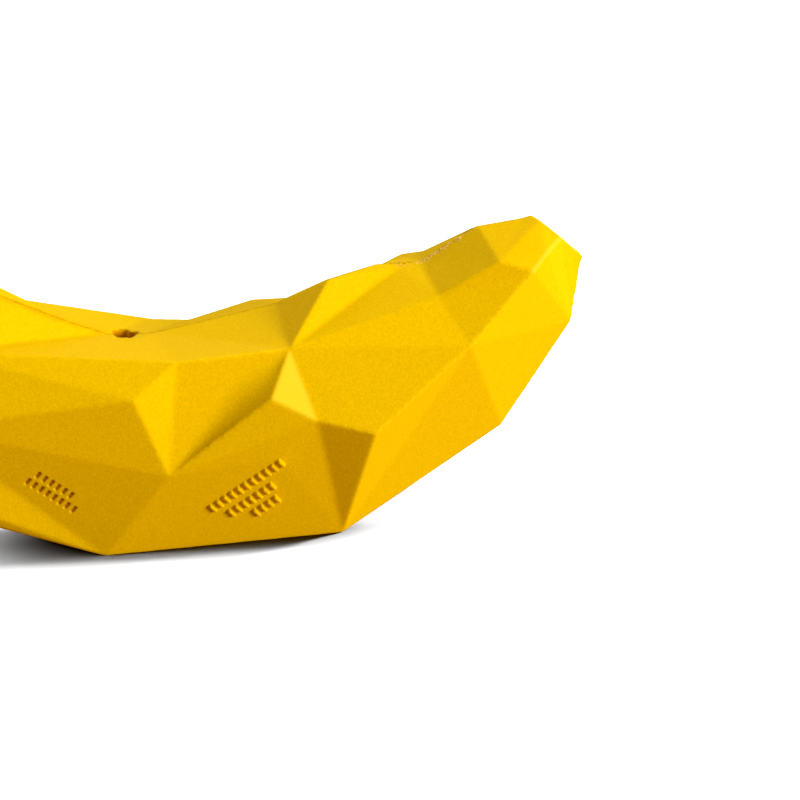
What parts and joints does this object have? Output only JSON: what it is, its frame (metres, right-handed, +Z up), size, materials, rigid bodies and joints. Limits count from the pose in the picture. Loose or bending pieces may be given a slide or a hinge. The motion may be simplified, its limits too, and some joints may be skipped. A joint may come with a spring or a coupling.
{
  "type": "rubber treat toy",
  "caption": "Hollow banana-shaped dog toy with a faceted rubber skin, a small round treat hole in the valley of its bend, a stubby stem and a flat foot that it stands on.",
  "frame": {"origin": "on the floor under the middle of the toy's bounding box", "axes": "+X along the toy from the stem to the blunt tip, +Y across it from the marked near half to the far half, +Z up, the way it stands on its flat foot"},
  "size_m": [0.1802, 0.0454, 0.0777],
  "materials": {
    "yellow_rubber": "matt, finely grained moulded rubber",
    "bond_cement": "matt, slightly ragged trimmed flash"
  },
  "bodies": {
    "root": {"near_half_shell": "yellow_rubber", "far_half_shell": "yellow_rubber", "seam_bond": "bond_cement"}
  },
  "joints": []
}
